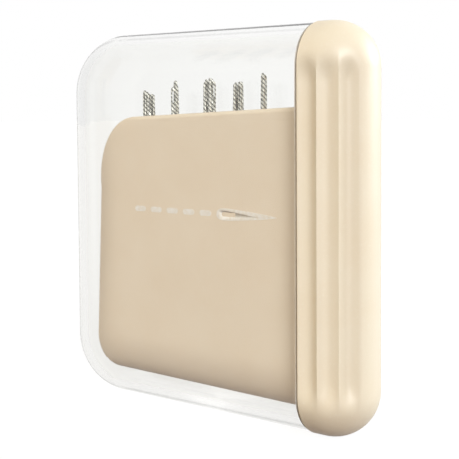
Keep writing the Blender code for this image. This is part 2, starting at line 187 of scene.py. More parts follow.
# The light behind, on the grip's side
SIDE_AZIMUTH = 146
SIDE_ELEVATION = 16
SIDE_SOFTNESS = 40
SIDE_STRENGTH = 0.70 * math.pi

# Soft light from all round, and how dark the studio's sides look in the clear plastic
SOFT_LIGHT = 0.29
SIDE_SHADE = 0.12
SIDE_SHADE_SHARES = (0.62, 0.95)  # sideways shares of the direction where it starts and is full

# The floor's reach to each side in metres, and how far it glows by itself where it is looked at
FLOOR_REACH = 4.0
FLOOR_GLOW = 0.93

# Colours of the lights, of the floor and of what passes through the clear plastic, in linear values
SOFT_COLOUR = (1.0, 0.84, 0.60, 1)
KEY_COLOUR = (1.0, 1.0, 1.0)
FILL_COLOUR = (1.0, 0.92, 0.78)
SIDE_COLOUR = (0.92, 0.98, 1.0)
WHITE = (1, 1, 1, 1)
FLOOR_COLOUR = (0.13, 0.13, 0.13, 1)
FLOOR_BOUNCE_COLOUR = (0.15, 0.07, 0.01, 1)
CLEAR_TINT = (0.963, 0.964, 0.953, 1)
# Painted shade: the clear plastic's colour where it turns fully away from view, partly for the longer path
# through the wall
CLEAR_EDGE_SHADE_TINT = (0.955, 0.95, 0.94, 1)
LIGHT_TINT = (0.99, 0.99, 0.985, 1)

# Colours of the surfaces as they show on screen, from 0 to 255
HOLDER_COLOURS = ((244, 232, 212), (241, 227, 205), (248, 239, 222))
GRIP_COLOURS = ((241, 232, 212), (239, 228, 206), (246, 240, 224))
# The mouth's fine-ground edge: grey-beige, partly painted shade for the seam between the sleeve and the grip
GROUND_AND_SEAM_SHADE_COLOURS = ((234, 229, 220), (220, 214, 204))
INK_COLOURS = ((252, 251, 248), (240, 234, 222))
STEEL_COLOURS = ((240, 238, 228), (196, 194, 183))
SLANT_COLOUR = (76, 74, 68)

# How the surfaces take the light
PLASTIC_IOR = 1.49
MOULDED_GLOSS = 0.85
GROUND_CLEARNESS = 0.5
EDGE_SHADE_SHARES = (0.2, 1.0)  # how far the clear surface turns away where its painted edge shade starts and is full
FLECK_SHARE = 0.3
SLANT_SHARE = 0.8

# Roughness, at one end of a surface's pattern and at the other
CLEAR_ROUGHNESS = (0.0, 0.012)
HOLDER_ROUGHNESS = (0.45, 0.56)
GRIP_ROUGHNESS = (0.37, 0.48)
INK_ROUGHNESS = (0.35, 0.5)
STEEL_ROUGHNESS = (0.16, 0.36)
GROUND_ROUGHNESS = 0.45

# Strength and height of the fine relief
RIPPLE_RELIEF = (0.25, 0.008 * MM)
GROUND_RELIEF = (0.3, 0.01 * MM)
MOULD_RELIEF = (0.25, 0.008 * MM)
DRAWN_RELIEF = (0.3, 0.01 * MM)


class Pattern(NamedTuple):
    """A noise pattern: how fine it is per metre, its detail, and the stretch of its values that shows."""

    scale: float
    detail: float
    roughness: float = 0.5
    low: float = 0.0
    high: float = 1.0


# Noise patterns of the finishes
HANDLING = Pattern(scale=160, detail=4, low=0.45, high=0.8)
RIPPLE = Pattern(scale=60, detail=2)
GRINDING = Pattern(scale=900, detail=3, low=0.3, high=0.7)
GROUND_GRAIN = Pattern(scale=4000, detail=2)
CLOUDS = Pattern(scale=90, detail=4, roughness=0.6, low=0.35, high=0.65)
FLECKS = Pattern(scale=2400, detail=2, low=0.55, high=0.75)
SATIN = Pattern(scale=420, detail=3, low=0.3, high=0.7)
MOULD_GRAIN = Pattern(scale=5200, detail=2, roughness=0.6)
THIN_INK = Pattern(scale=1800, detail=3, low=0.4, high=0.75)
PATCHES = Pattern(scale=1500, detail=3, roughness=0.6, low=0.35, high=0.65)
DRAWN_LINES = Pattern(scale=9000, detail=3, roughness=0.6, low=0.3, high=0.7)
DRAWN_STRETCH = (1, 1, 0.06)  # draws the pattern out along the wire

# The fine slanting lines on the wire: how they lean, their waves, and the stretch that shows
SLANT_LEAN = (0.78, 0.62, 1)
SLANT_WAVE = {"Scale": 900, "Distortion": 1.5, "Detail": 2.0}
SLANT_SHOWN = (0.45, 0.8)

# The places of the pieces in the frame
SLEEVE_LOW, SLEEVE_HIGH = (Vector(corner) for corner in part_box("clear_sleeve"))
GRIP_LOW, GRIP_HIGH = (Vector(corner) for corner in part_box("grip"))
HOLDER_LOW, HOLDER_HIGH = (Vector(corner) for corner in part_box("needle_holder"))
NEEDLE_NAMES = sorted(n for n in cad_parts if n.startswith("needle_") and n != "needle_holder")

SLEEVE_HALF = SLEEVE_HIGH.y
FLAT_ANGLE = math.asin(EDGE_FLAT / (2 * SLEEVE_HALF))
SPINE_INSET = SLEEVE_HALF * math.cos(FLAT_ANGLE)
SPINE_LEFT = SLEEVE_LOW.x + SPINE_INSET
SPINE_BOTTOM = SLEEVE_LOW.z + SPINE_INSET
SPINE_TOP = SLEEVE_HIGH.z - SPINE_INSET
SPINE_CORNER = SLEEVE_CORNER_RADIUS - SPINE_INSET
MOUTH_X = SLEEVE_HIGH.x
MID_HEIGHT = (SPINE_BOTTOM + SPINE_TOP) / 2
CAVITY_HALF = SLEEVE_HALF - SLEEVE_WALL

GRIP_HALF = GRIP_HIGH.y
GRIP_SPINE_X = GRIP_HIGH.x - GRIP_HALF
GRIP_LEFT = GRIP_SPINE_X - GRIP_FLANK
FLUTE_PITCH = (FLUTE_ON_FLANK + GRIP_HALF * math.pi / 2 - CREST_BAND / 2) / FLUTES_PER_SIDE
LIP_HALF = CAVITY_HALF - RUNNING_GAP

HOLDER_HALF = HOLDER_HIGH.y
HOLDER_RIGHT = MOUTH_X - HOLDER_GRIP_END_GAP
WELL_MIDDLE = (HOLDER_LOW.x + HOLDER_RIGHT) / 2 + WELL_ROW_OFFSET
WELL_PITCH = 2 * WELL_RADIUS + WELL_RIB


def srgb(colour):
    """A colour written as it shows on screen, from 0 to 255, as the linear values that shaders take."""
    linear = []
    for level in colour:
        value = level / 255
        linear.append(value / 12.92 if value <= 0.04045 else ((value + 0.055) / 1.055) ** 2.4)
    return (*linear, 1.0)


def add_object(name, bm, material, smooth_below=SMOOTH_BELOW):
    """Turns a bmesh into a shaded object."""
    bmesh.ops.recalc_face_normals(bm, faces=bm.faces)
    mesh = bpy.data.meshes.new(name)
    bm.to_mesh(mesh)
    bm.free()
    mesh.shade_smooth()
    mesh.set_sharp_from_angle(angle=math.radians(smooth_below))
    if material:
        mesh.materials.append(material)
    obj = bpy.data.objects.new(name, mesh)
    bpy.context.scene.collection.objects.link(obj)
    return obj


def carve(obj, changes):
    """Applies exact Booleans to an object and removes the objects that it was cut or joined with."""
    for operation, other in changes:
        modifier = obj.modifiers.new(other.name, "BOOLEAN")
        modifier.operation = operation
        modifier.solver = "EXACT"
        modifier.object = other
    bpy.context.view_layer.update()
    evaluated = obj.evaluated_get(bpy.context.evaluated_depsgraph_get())
    carved = bpy.data.meshes.new_from_object(evaluated)
    obj.modifiers.clear()
    obj.data = carved
    for _, other in changes:
        bpy.data.objects.remove(other)


def loft(bm, rows, closed_rows=False):
    """Quads between neighbouring rows of points, and the rows as lists of vertices."""
    made = [[bm.verts.new(point) for point in row] for row in rows]
    for low, high in zip(made, made[1:]):
        count = len(low)
        for i in range(count if closed_rows else count - 1):
            j = (i + 1) % count
            bm.faces.new((low[i], low[j], high[j], high[i]))
    return made


def solid(name, loops, material, smooth_below=SMOOTH_BELOW):
    """A closed piece through these closed loops of points, with its two ends filled."""
    bm = bmesh.new()
    made = loft(bm, loops, closed_rows=True)
    bm.faces.new(made[0])
    bm.faces.new(made[-1])
    return add_object(name, bm, material, smooth_below)


def row_ends(rows):
    """The first and the last items of the rows, as one closed loop."""
    return [row[0] for row in rows] + [row[-1] for row in reversed(rows)]


def bridge(bm, loop, next_loop, slot=0):
    """Quads between two closed loops of vertices, with the material in this slot."""
    for i in range(len(loop)):
        j = (i + 1) % len(loop)
        face = bm.faces.new((loop[i], loop[j], next_loop[j], next_loop[i]))
        face.material_index = slot


def arc(centre_x, centre_z, radius, start, end, steps):
    """Points of an arc in the front plane, with their outward directions. Angle 0 is +X, 90 is +Z."""
    points = []
    for step in range(steps + 1):
        angle = math.radians(start + (end - start) * step / steps)
        out = (math.cos(angle), math.sin(angle))
        points.append((centre_x + radius * out[0], centre_z + radius * out[1], out))
    return points


def circle(sides):
    """The corners of a polygon in a circle of radius 1."""
    return [out for _, _, out in arc(0, 0, 1, 0, 360, sides)[:-1]]


def bar_outline(left, length, height, width):
    """Outline of a level bar with round ends, seen from the front, from its left end on."""
    half = width / 2
    outline = arc(left + half, height, half, 90, 270, EYE_END_STEPS)
    outline += arc(left + length - half, height, half, 270, 450, EYE_END_STEPS)
    return [(x, z) for x, z, _ in outline]


def flat_with_guard(bm, corners):
    """A flat face whose rim has a narrow strip, so that the rounded edge beside it can't shade it."""
    face = bm.faces.new(corners)
    bmesh.ops.inset_region(bm, faces=[face], thickness=NORMAL_GUARD, use_even_offset=True)


def sleeve_skin(half, mouth_x):
    """Rows of a skin at this distance from the sleeve's spine, from the front face to the back."""
    quarter = [math.pi / 2 - (math.pi / 2 - FLAT_ANGLE) * i / EDGE_STEPS for i in range(EDGE_STEPS + 1)]
    rows = []
    for angle in [-a for a in quarter] + quarter[::-1]:
        reach = half * math.cos(angle)
        radius = SPINE_CORNER + reach
        corner_x = SPINE_LEFT + SPINE_CORNER
        path = [(mouth_x, SPINE_BOTTOM - reach)]
        for z, start in ((SPINE_BOTTOM + SPINE_CORNER, 270), (SPINE_TOP - SPINE_CORNER, 180)):
            path += [(x, z) for x, z, _ in arc(corner_x, z, radius, start, start - 90, CORNER_STEPS)]
        path.append((mouth_x, SPINE_TOP + reach))
        rows.append([(x, half * math.sin(angle), z) for x, z in path])
    return rows


def make_sleeve(material, edge_material):
    """The clear sleeve, with an eased and fine-ground edge round its mouth."""
    bm = bmesh.new()
    loops = []
    for half, side in ((SLEEVE_HALF, 1), (CAVITY_HALF, -1)):
        skin = loft(bm, sleeve_skin(half, MOUTH_X - MOUTH_EASING))
        flat_with_guard(bm, skin[0])
        flat_with_guard(bm, skin[-1])
        rim = row_ends(sleeve_skin(half - side * MOUTH_EASING, MOUTH_X))
        loops.append((row_ends(skin), [bm.verts.new(point) for point in rim]))
    (outer, outer_rim), (inner, inner_rim) = loops
    for near, far in ((outer, outer_rim), (inner, inner_rim), (outer_rim, inner_rim)):
        bridge(bm, near, far, EDGE_SLOT)
    sleeve = add_object("sleeve_moulding", bm, material)
    sleeve.data.materials.append(edge_material)
    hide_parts("clear_sleeve")
    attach(sleeve, "sleeve")


def flute_depth(along, height):
    """How deep the flutes are at this distance along the grip's side and this height.

    Each flute is a round hollow, and the ribs between them are narrow. A flute's ends fade out.
    """
    from_start = along + FLUTE_ON_FLANK
    if not 0 < from_start < FLUTES_PER_SIDE * FLUTE_PITCH:
        return 0
    wave = abs(math.sin(math.pi * from_start / FLUTE_PITCH))
    inside = (SPINE_TOP - SPINE_BOTTOM) / 2 + FLUTE_RUN_ON - abs(height - MID_HEIGHT)
    fade = min(max(inside / FLUTE_FADE, 0), 1)
    return FLUTE_DEPTH * wave * fade * fade * (3 - 2 * fade)


def grip_row(reach, height):
    """One level of the grip from the front edge of its left face, round the crest, to the back edge."""
    fluted = FLUTES_PER_SIDE * FLUTE_STEPS
    stations = [FLUTE_PITCH / FLUTE_STEPS * i - FLUTE_ON_FLANK for i in range(fluted + 1)]
    start = stations[-1]
    stations += [start + CREST_BAND / 2 * (i + 1) / CREST_STEPS for i in range(CREST_STEPS)]
    front = [(GRIP_LEFT, -reach, height)]
    for along in stations:
        turned = max(along, 0) / GRIP_HALF
        radius = reach - flute_depth(along, height)
        x = GRIP_SPINE_X + min(along, 0) + radius * math.sin(turned)
        front.append((x, -radius * math.cos(turned), height))
    return front + [(x, -y, height) for x, y, _ in front[-2::-1]]


def grip_levels():
    """Reach from the spine and height of each level of the grip, from the bottom up."""
    steepest = math.pi / 2 - FLAT_ANGLE
    end = [steepest * (1 - i / GRIP_END_STEPS) for i in range(GRIP_END_STEPS + 1)]
    top = [(GRIP_HALF * math.cos(a), SPINE_TOP + GRIP_HALF * math.sin(a)) for a in end]
    fade = (FLUTE_FADE - FLUTE_RUN_ON) / FADE_STEPS
    top += [(GRIP_HALF, SPINE_TOP - fade * (i + 1)) for i in range(FADE_STEPS)]
    bottom = [(reach, 2 * MID_HEIGHT - height) for reach, height in top]
    return bottom + top[::-1]


def lip_loop(x):
    """Outline of the grip's lip at x, point for point like the outline of the grip's left face."""
    share = LIP_HALF / GRIP_HALF
    side = []
    for reach, height in grip_levels():
        nearest = min(max(height, SPINE_BOTTOM), SPINE_TOP)
        side.append((x, reach * share, nearest + (height - nearest) * share))
    return [(x, -y, z) for x, y, z in side] + side[::-1]


def make_grip(material):
    """The fluted grip with its lip and the slot for the tongue."""
    bm = bmesh.new()
    rows = loft(bm, [grip_row(reach, height) for reach, height in grip_levels()])
    bm.faces.new(rows[0])
    bm.faces.new(rows[-1])
    loop = row_ends(rows)
    for x in (GRIP_LEFT, GRIP_LOW.x):
        next_loop = [bm.verts.new(point) for point in lip_loop(x)]
        bridge(bm, loop, next_loop)
        loop = next_loop
    bm.faces.new(loop)
    grip = add_object("grip_moulding", bm, material)
    carve(grip, [("DIFFERENCE", tongue_block(RUNNING_GAP, HOLDER_RIGHT, HOLDER_HIGH.x))])
    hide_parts("grip")
    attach(grip, "drawer")


def tongue_block(clearance, left, right):
    """The tongue's block from left to right, grown by a clearance on all sides but its left end."""
    bm = bmesh.new()
    bmesh.ops.create_cube(bm, size=1)
    low = Vector((left, -TONGUE_THICKNESS / 2 - clearance, HOLDER_LOW.z + TONGUE_SHOULDER - clearance))
    top = HOLDER_HIGH.z - TONGUE_SHOULDER + clearance
    high = Vector((right + clearance, TONGUE_THICKNESS / 2 + clearance, top))
    size = high - low
    placed = Matrix.Translation((low + high) / 2) @ Matrix.Diagonal((*size, 1))
    bmesh.ops.transform(bm, matrix=placed, verts=bm.verts)
    return add_object("tongue_block", bm, None)


def to_free_end(x):
    """How far x lies from the grip end of the holder to its free end, from 0 to 1."""
    return (HOLDER_RIGHT - x) / (HOLDER_RIGHT - HOLDER_LOW.x)


def deck_height(x):
    """Height of the needle deck at x."""
    return HOLDER_HIGH.z - DECK_FALL * to_free_end(x)


def foot_height(x):
    """Height of the holder's foot at x."""
    return HOLDER_LOW.z + FOOT_RISE * to_free_end(x)


def end_lean(x, z):
    """How far the holder's free end leans away from the sleeve's closed end at this place."""
    heel_top = HOLDER_LOW.z + FOOT_RISE + HEEL_RADIUS
    return HOLDER_END_LEAN * to_free_end(x) * max(z - heel_top, 0) / (HOLDER_HIGH.z - heel_top)


def holder_outline(end_inset, foot_inset, deck_inset, heel_radius, shoulder_width):
    """The holder from the front, at these distances inside its edges: points with their deck share.

    The deck share grows from 0 at the free end to 1 on the deck.
    """
    left = HOLDER_LOW.x + end_inset
    shoulder_height = SHOULDER_HEIGHT - deck_inset
    outline = [(HOLDER_RIGHT, foot_height(HOLDER_RIGHT) + foot_inset, 0)]
    for cosine, sine, _ in arc(0, 0, 1, 270, 180, CORNER_STEPS):
        x = left + heel_radius * (1 + cosine)
        outline.append((x, foot_height(x) + foot_inset + heel_radius * (1 + sine), 0))
    for cosine, sine, _ in arc(0, 0, 1, 180, 90, CORNER_STEPS):
        x = left + shoulder_width * (1 + cosine)
        outline.append((x, deck_height(x) - deck_inset + shoulder_height * (sine - 1), sine))
    outline.append((HOLDER_RIGHT, deck_height(HOLDER_RIGHT) - deck_inset, 1))
    return [(x + end_lean(x, z), z, deck_share) for x, z, deck_share in outline]


def holder_rows():
    """Rows of the holder from its flat front over the rounded edge to the middle of its thickness."""
    full = holder_outline(0, 0, 0, HEEL_RADIUS, SHOULDER_WIDTH)
    flat = holder_outline(END_ROUNDING, FOOT_ROUNDING, DECK_ROUNDING, FLAT_HEEL_RADIUS, FLAT_SHOULDER_WIDTH)
    side_depth = HOLDER_HALF * (1 - math.sin(FLAT_ANGLE))
    rows = []
    for step in range(EDGE_STEPS + 1):
        angle = math.pi / 2 * (1 - step / EDGE_STEPS)
        row = []
        for (full_x, full_z, deck_share), (flat_x, flat_z, _) in zip(full, flat):
            depth = side_depth + (DECK_ROUNDING - side_depth) * deck_share
            x = flat_x + (full_x - flat_x) * math.cos(angle)
            z = flat_z + (full_z - flat_z) * math.cos(angle)
            row.append((x, depth * (1 - math.sin(angle)) - HOLDER_HALF, z))
        rows.append(row)
    return rows


def well_cutter(x, floor):
    """The bore of one well, widened at its mouth."""
    deck = deck_height(x)
    levels = (
        (WELL_RADIUS, floor),
        (WELL_RADIUS, deck - WELL_LEAD_IN),
        (WELL_RADIUS + WELL_LEAD_IN, deck),
        (WELL_RADIUS + WELL_LEAD_IN, deck + CUT_OVERRUN),
    )
    loops = []
    for radius, height in levels:
        loops.append([(x + radius * across, radius * deep, height) for across, deep in circle(WELL_SIDES)])
    return solid("well_cutter", loops, None)


def make_holder(material):
    """The block that holds the needles, with its tongue and its wells."""
    bm = bmesh.new()
    front = holder_rows()
    back = [[(x, -y, z) for x, y, z in row] for row in reversed(front)]
    rows = loft(bm, front + back)
    flat_with_guard(bm, rows[0])
    flat_with_guard(bm, rows[-1])
    bm.faces.new(row_ends(rows))
    holder = add_object("holder_moulding", bm, material)
    floor = HOLDER_HIGH.z - WELL_DEPTH
    changes = [("UNION", tongue_block(0, HOLDER_RIGHT - TONGUE_ROOT, HOLDER_HIGH.x))]
    for index in range(WELL_COUNT):
        x = WELL_MIDDLE + (index - (WELL_COUNT - 1) / 2) * WELL_PITCH
        changes.append(("DIFFERENCE", well_cutter(x, floor)))
    carve(holder, changes)
    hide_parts("needle_holder")
    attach(holder, "drawer")


def needle_sections(length):
    """Height, half width and half thickness of a needle's sections, from the tip up."""
    sections = [(NEEDLE_TAPER * up, NEEDLE_RADIUS * wide, NEEDLE_RADIUS * wide) for up, wide in TAPER_SHARES]
    for down, wide, thick in HEAD_SHARES:
        sections.append((length - NEEDLE_HEAD * down, NEEDLE_RADIUS * wide, NEEDLE_RADIUS * thick))
    return sections


def make_needle(node, material):
    """One sewing needle: tapered point, flattened head, eye and the gutter on both of its faces."""
    low, high = (Vector(corner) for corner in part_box(node))
    _, well, number = node.split("_")
    length = high.z - low.z
    loops = []
    for height, half_width, half_thickness in needle_sections(length):
        loops.append([(x * half_width, y * half_thickness, height) for x, y in circle(NEEDLE_SIDES)])
    needle = solid(node + "_finished", loops, material, NEEDLE_SMOOTH_BELOW)
    thick = NEEDLE_RADIUS * HEAD_THICKNESS_SHARE
    top = length - EYE_BELOW_TOP
    cuts = [("DIFFERENCE", slot_cutter(top, EYE_WIDTH, EYE_LENGTH, -2 * thick, 2 * thick))]
    for side in (-1, 1):
        inner = side * (thick - GUTTER_DEPTH)
        cuts.append(("DIFFERENCE", slot_cutter(top, GUTTER_WIDTH, GUTTER_LENGTH, inner, side * 2 * thick)))
    carve(needle, cuts)
    turn = EYE_TURN_PER_NEEDLE * (int(number) - 1) + EYE_TURN_PER_WELL * (int(well) - 1)
    turned = Matrix.Rotation(math.radians(turn % HALF_TURN), 4, "Z")
    centre = (low + high) / 2
    needle.data.transform(Matrix.Translation((centre.x, centre.y, low.z)) @ turned)
    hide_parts(node)
    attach(needle, node)


def slot_cutter(top, width, length, near, far):
    """A slot with round ends that hangs down from this height, between two depths."""
    half = width / 2
    outline = arc(0, top - half, half, 0, 180, EYE_END_STEPS)
    outline += arc(0, top - length + half, half, 180, 360, EYE_END_STEPS)
    return plate("slot_cutter", [(x, z) for x, z, _ in outline], near, far, None)


def plate(name, outline, near, far, material):
    """A flat piece with this outline, seen from the front, between two depths."""
    return solid(name, [[(x, y, z) for x, z in outline] for y in (near, far)], material)


def make_mark(material):
    """The white print on the holder's front: a needle, and the row of stitches that it sews."""
    front = HOLDER_LOW.y
    near, far = front - INK_DEPTH, front + INK_DEPTH
    stitch_pitch = STITCH_LENGTH + STITCH_GAP
    eye_end = MARK_LEFT + STITCH_COUNT * stitch_pitch
    lower = []
    upper = []
    for along, wide in MARK_NEEDLE_SHARES:
        x = eye_end + MARK_NEEDLE_LENGTH * along
        lower.append((x, MARK_HEIGHT - MARK_NEEDLE_WIDTH / 2 * wide))
        upper.append((x, MARK_HEIGHT + MARK_NEEDLE_WIDTH / 2 * wide))
    needle = plate("mark_needle", lower + upper[::-1], near, far, material)
    eye = bar_outline(eye_end + MARK_EYE_FROM_END, MARK_EYE_LENGTH, MARK_HEIGHT, MARK_EYE_WIDTH)
    carve(needle, [("DIFFERENCE", plate("eye_hole", eye, near - INK_DEPTH, far + INK_DEPTH, None))])
    ride_as_print(needle)
    for index in range(STITCH_COUNT):
        outline = bar_outline(MARK_LEFT + index * stitch_pitch, STITCH_LENGTH, MARK_HEIGHT, STITCH_WIDTH)
        ride_as_print(plate(f"mark_stitch_{index + 1}", outline, near, far, material))


def ride_as_print(piece):
    """A printed piece goes with the drawer."""
    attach(piece, "drawer")


class Nodes:
    """Short ways to build a material's node tree."""

    def __init__(self, name):
        self.material = bpy.data.materials.new(name)
        self.material.use_nodes = True
        self.tree = self.material.node_tree
        self.tree.nodes.clear()
        self.output = self.add("ShaderNodeOutputMaterial")

    def add(self, kind, **values):
        """A new node with these properties."""
        node = self.tree.nodes.new(kind)
        for key, value in values.items():
            setattr(node, key, value)
        return node

    def join(self, source, target):
        """Links an output to an input."""
        self.tree.links.new(source, target)

    def place(self):
        """Where a point of the surface is on its piece."""
        return self.add("ShaderNodeTexCoord").outputs["Object"]

    def stretched(self, place, scale):
        """The same place, with each axis scaled."""
        node = self.add("ShaderNodeMapping")
        node.inputs["Scale"].default_value = scale
        self.join(place, node.inputs["Vector"])
        return node.outputs["Vector"]

    def noise(self, place, pattern):
        """A pattern's values, from 0 to 1."""
        node = self.add("ShaderNodeTexNoise")
        node.inputs["Scale"].default_value = pattern.scale
        node.inputs["Detail"].default_value = pattern.detail
        node.inputs["Roughness"].default_value = pattern.roughness
        self.join(place, node.inputs["Vector"])
        return node.outputs["Fac"]

    def spread(self, value, low, high, to_low=0.0, to_high=1.0):
        """Stretches a value from one range to another and stops at its ends."""
        node = self.add("ShaderNodeMapRange")
        for name, number in (("From Min", low), ("From Max", high), ("To Min", to_low), ("To Max", to_high)):
            node.inputs[name].default_value = number
        self.join(value, node.inputs["Value"])
        return node.outputs["Result"]

    def shown(self, place, pattern, to_low=0.0, to_high=1.0):
        """The stretch of a pattern's values that shows, from one number to the other."""
        return self.spread(self.noise(place, pattern), pattern.low, pattern.high, to_low, to_high)

    def mix_colour(self, factor, first, second):
        """A mix of two colours, each a tuple or another node's output."""
        node = self.add("ShaderNodeMix", data_type="RGBA")
        self.join(factor, node.inputs["Factor"])
        for socket, colour in ((node.inputs[6], first), (node.inputs[7], second)):
            if isinstance(colour, tuple):
                socket.default_value = colour
            else:
                self.join(colour, socket)
        return node.outputs[2]

    def maths(self, operation, first, second):
        """What this operation makes of two values, each a number or another node's output."""
        node = self.add("ShaderNodeMath", operation=operation)
        for socket, value in zip(node.inputs, (first, second)):
            if isinstance(value, (int, float)):
                socket.default_value = value
            else:
                self.join(value, socket)
        return node.outputs[0]

    def relief(self, shader, height, strength, distance):
        """Makes a shader's surface rise and fall with this height."""
        node = self.add("ShaderNodeBump")
        node.inputs["Strength"].default_value = strength
        node.inputs["Distance"].default_value = distance
        self.join(height, node.inputs["Height"])
        self.join(node.outputs["Normal"], shader.inputs["Normal"])

    def mix_shaders(self, factor, first, second):
        """A mix of two shaders."""
        node = self.add("ShaderNodeMixShader")
        self.join(factor, node.inputs["Fac"])
        self.join(first.outputs[0], node.inputs[1])
        self.join(second.outputs[0], node.inputs[2])
        return node

    def finish(self, shader):
        """Puts a shader on the surface."""
        self.join(shader.outputs[0], self.output.inputs["Surface"])
        return self.material

    def finish_clear(self, shader):
        """Puts a shader on the surface, but lets light pass straight through to what is inside."""
        path = self.add("ShaderNodeLightPath")
        passing = self.add("ShaderNodeBsdfTransparent")
        passing.inputs["Color"].default_value = LIGHT_TINT
        light = self.maths("MAXIMUM", path.outputs["Is Shadow Ray"], path.outputs["Is Diffuse Ray"])
        return self.finish(self.mix_shaders(light, shader, passing))


def clear_plastic():
    """Polished clear plastic. Light reaches what is inside through it without bending. Its colour turns
    greyer where the surface turns away from view: painted shade along its edges, partly standing in for the
    longer path through the wall.
    """
    nodes = Nodes("clear_plastic_finish")
    place = nodes.place()
    shader = nodes.add("ShaderNodeBsdfPrincipled")
    # Painted shade along the edges: the colour greys where the surface turns away from view
    facing = nodes.add("ShaderNodeLayerWeight").outputs["Facing"]
    tint = nodes.mix_colour(nodes.spread(facing, *EDGE_SHADE_SHARES), CLEAR_TINT, CLEAR_EDGE_SHADE_TINT)
    nodes.join(tint, shader.inputs["Base Color"])
    shader.inputs["IOR"].default_value = PLASTIC_IOR
    shader.inputs["Transmission Weight"].default_value = 1.0
    nodes.join(nodes.shown(place, HANDLING, *CLEAR_ROUGHNESS), shader.inputs["Roughness"])
    nodes.relief(shader, nodes.noise(place, RIPPLE), *RIPPLE_RELIEF)
    return nodes.finish_clear(shader)


def ground_edge():
    """The sleeve's mouth: the same plastic, fine-ground, so that it catches the light. Its grey-beige colour
    is partly painted shade, standing in for the shade in the seam between the sleeve and the grip.
    """
    nodes = Nodes("ground_edge_seam_shade_finish")
    place = nodes.place()
    shader = nodes.add("ShaderNodeBsdfPrincipled")
    # Both colours hold painted shade for the seam; the grinding pattern varies between them
    clean, worn = (srgb(colour) for colour in GROUND_AND_SEAM_SHADE_COLOURS)
    nodes.join(nodes.mix_colour(nodes.shown(place, GRINDING), clean, worn), shader.inputs["Base Color"])
    shader.inputs["Roughness"].default_value = GROUND_ROUGHNESS
    shader.inputs["IOR"].default_value = PLASTIC_IOR
    shader.inputs["Transmission Weight"].default_value = GROUND_CLEARNESS
    nodes.relief(shader, nodes.noise(place, GROUND_GRAIN), *GROUND_RELIEF)
    return nodes.finish_clear(shader)


def moulded_plastic(name, colours, roughness):
    """Satin moulded plastic: faint clouding in its colour, pale flecks and a fine even grain."""
    nodes = Nodes(name)
    place = nodes.place()
    shader = nodes.add("ShaderNodeBsdfPrincipled")
    colour, warm, pale = (srgb(colour) for colour in colours)
    tint = nodes.mix_colour(nodes.shown(place, CLOUDS), colour, warm)
    tint = nodes.mix_colour(nodes.shown(place, FLECKS, 0.0, FLECK_SHARE), tint, pale)
    nodes.join(tint, shader.inputs["Base Color"])
    nodes.join(nodes.shown(place, SATIN, *roughness), shader.inputs["Roughness"])
    shader.inputs["Specular IOR Level"].default_value = MOULDED_GLOSS
    nodes.relief(shader, nodes.noise(place, MOULD_GRAIN), *MOULD_RELIEF)
    return nodes.finish(shader)


def white_ink():
    """Pad-printed white ink: a little thin in places, with a soft gloss."""
    nodes = Nodes("white_ink_finish")
    shader = nodes.add("ShaderNodeBsdfPrincipled")
    thin = nodes.shown(nodes.place(), THIN_INK)
    full, faded = (srgb(colour) for colour in INK_COLOURS)
    nodes.join(nodes.mix_colour(thin, full, faded), shader.inputs["Base Color"])
    nodes.join(nodes.spread(thin, 0.0, 1.0, *INK_ROUGHNESS), shader.inputs["Roughness"])
    return nodes.finish(shader)


def needle_steel():
    """Nickel-plated wire: fine drawn lines along it, dark slanting lines and duller patches."""
    nodes = Nodes("needle_steel_finish")
    place = nodes.place()
    shader = nodes.add("ShaderNodeBsdfPrincipled")
    shader.inputs["Metallic"].default_value = 1.0
    bright, dull = (srgb(colour) for colour in STEEL_COLOURS)
    tint = nodes.mix_colour(nodes.shown(place, PATCHES), bright, dull)
    # Dark slanting lines are painted into the wire's colour
    slant_waves = nodes.add("ShaderNodeTexWave", bands_direction="DIAGONAL")
    for name, value in SLANT_WAVE.items():
        slant_waves.inputs[name].default_value = value
    nodes.join(nodes.stretched(place, SLANT_LEAN), slant_waves.inputs["Vector"])
    slanting = nodes.spread(slant_waves.outputs["Fac"], *SLANT_SHOWN, 0.0, SLANT_SHARE)
    nodes.join(nodes.mix_colour(slanting, tint, srgb(SLANT_COLOUR)), shader.inputs["Base Color"])
    lines = nodes.noise(nodes.stretched(place, DRAWN_STRETCH), DRAWN_LINES)
    rough = nodes.spread(lines, DRAWN_LINES.low, DRAWN_LINES.high, *STEEL_ROUGHNESS)
    nodes.join(rough, shader.inputs["Roughness"])
    nodes.relief(shader, lines, *DRAWN_RELIEF)
    return nodes.finish(shader)


def floor_material():
    """A pale floor: white where the camera, mirrors and clear pieces see it, softer in what it reflects."""
    nodes = Nodes("floor_paper")
    seen = nodes.add("ShaderNodeBsdfDiffuse")
    seen.inputs["Color"].default_value = FLOOR_COLOUR
    glow = nodes.add("ShaderNodeEmission")
    brightness = nodes.maths("MULTIPLY", greyed_sides(nodes, nodes.place()), FLOOR_GLOW)
    nodes.join(brightness, glow.inputs["Strength"])
    lifted = nodes.add("ShaderNodeAddShader")
    nodes.join(seen.outputs[0], lifted.inputs[0])
    nodes.join(glow.outputs[0], lifted.inputs[1])
    bounce = nodes.add("ShaderNodeBsdfDiffuse")
    bounce.inputs["Color"].default_value = FLOOR_BOUNCE_COLOUR
    return nodes.finish(nodes.mix_shaders(looked_at(nodes), bounce, lifted))


def looked_at(nodes):
    """1 for a ray that shows a surface to the camera, by itself, in a reflection or through a clear piece."""
    path = nodes.add("ShaderNodeLightPath")
    mirrored = nodes.maths("MAXIMUM", path.outputs["Is Glossy Ray"], path.outputs["Is Transmission Ray"])
    return nodes.maths("MAXIMUM", path.outputs["Is Camera Ray"], mirrored)


class WorldNodes(Nodes):
    """The same short ways for the world's node tree."""

    def __init__(self, world):
        world.use_nodes = True
        self.tree = world.node_tree
        self.tree.nodes.clear()
        self.output = self.add("ShaderNodeOutputWorld")


